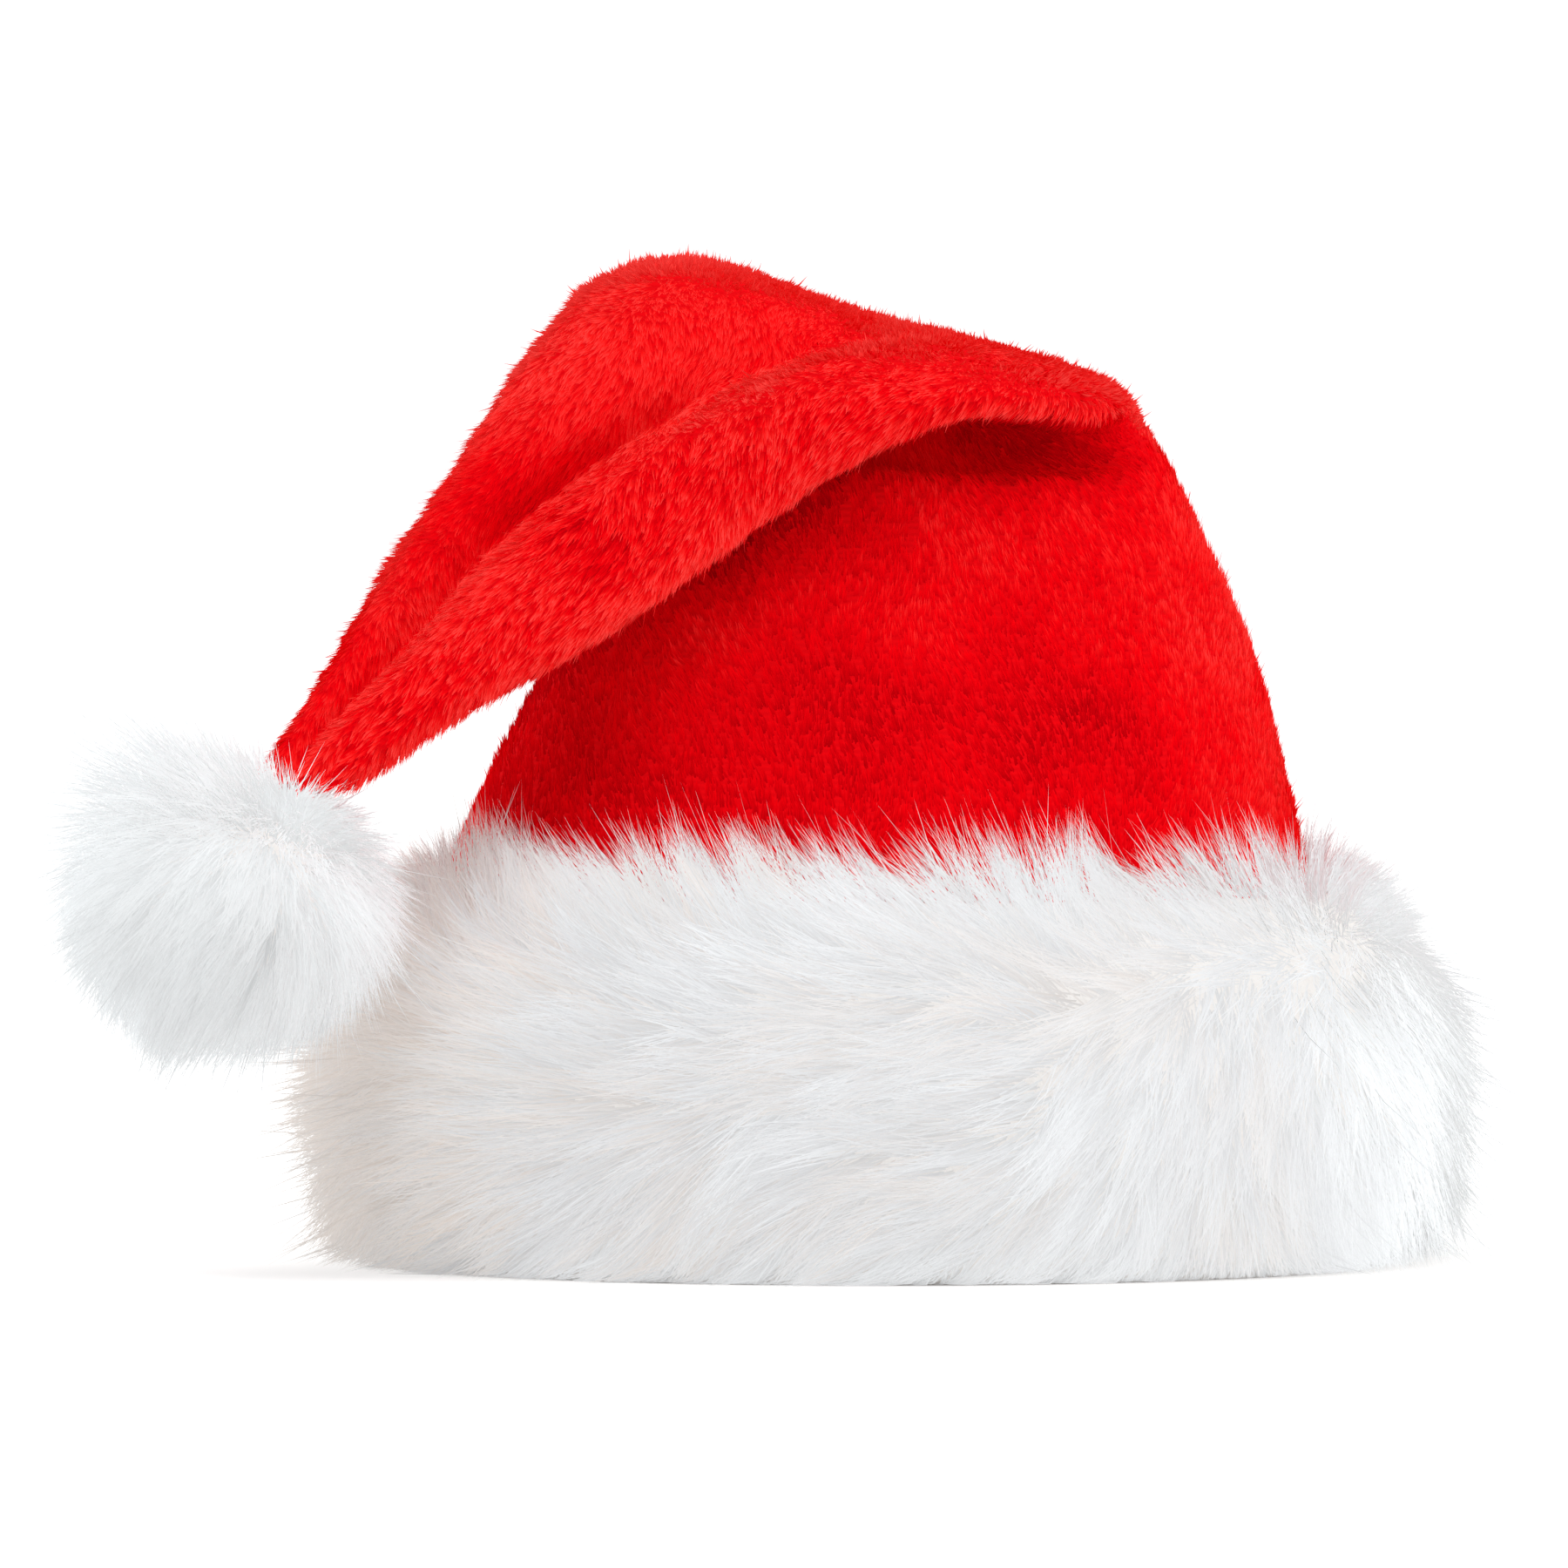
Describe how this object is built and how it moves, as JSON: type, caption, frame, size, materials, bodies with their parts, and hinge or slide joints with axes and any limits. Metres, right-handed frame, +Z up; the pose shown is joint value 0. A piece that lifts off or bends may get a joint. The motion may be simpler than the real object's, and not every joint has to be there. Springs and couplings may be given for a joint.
{
  "type": "christmas party hat",
  "caption": "Red plush party hat with a tapering crown folded over to one side, a deep white fur brim and a white fur pompom. It is worn on the head and rests flat on its brim.",
  "frame": {"origin": "middle of the head opening, at the height of the brim's flat underside", "axes": "+Z up out of the head opening, -Y towards the front that the tail is folded over, +X to the right seen from the front"},
  "size_m": [0.327, 0.2414, 0.2301],
  "materials": {
    "red_plush": "short dense plush pile",
    "white_fur": "long combed faux fur",
    "pompom_fur": "long loose faux fur"
  },
  "bodies": {
    "root": {"crown": "red_plush", "brim": "white_fur", "pompom": "pompom_fur"}
  },
  "joints": []
}
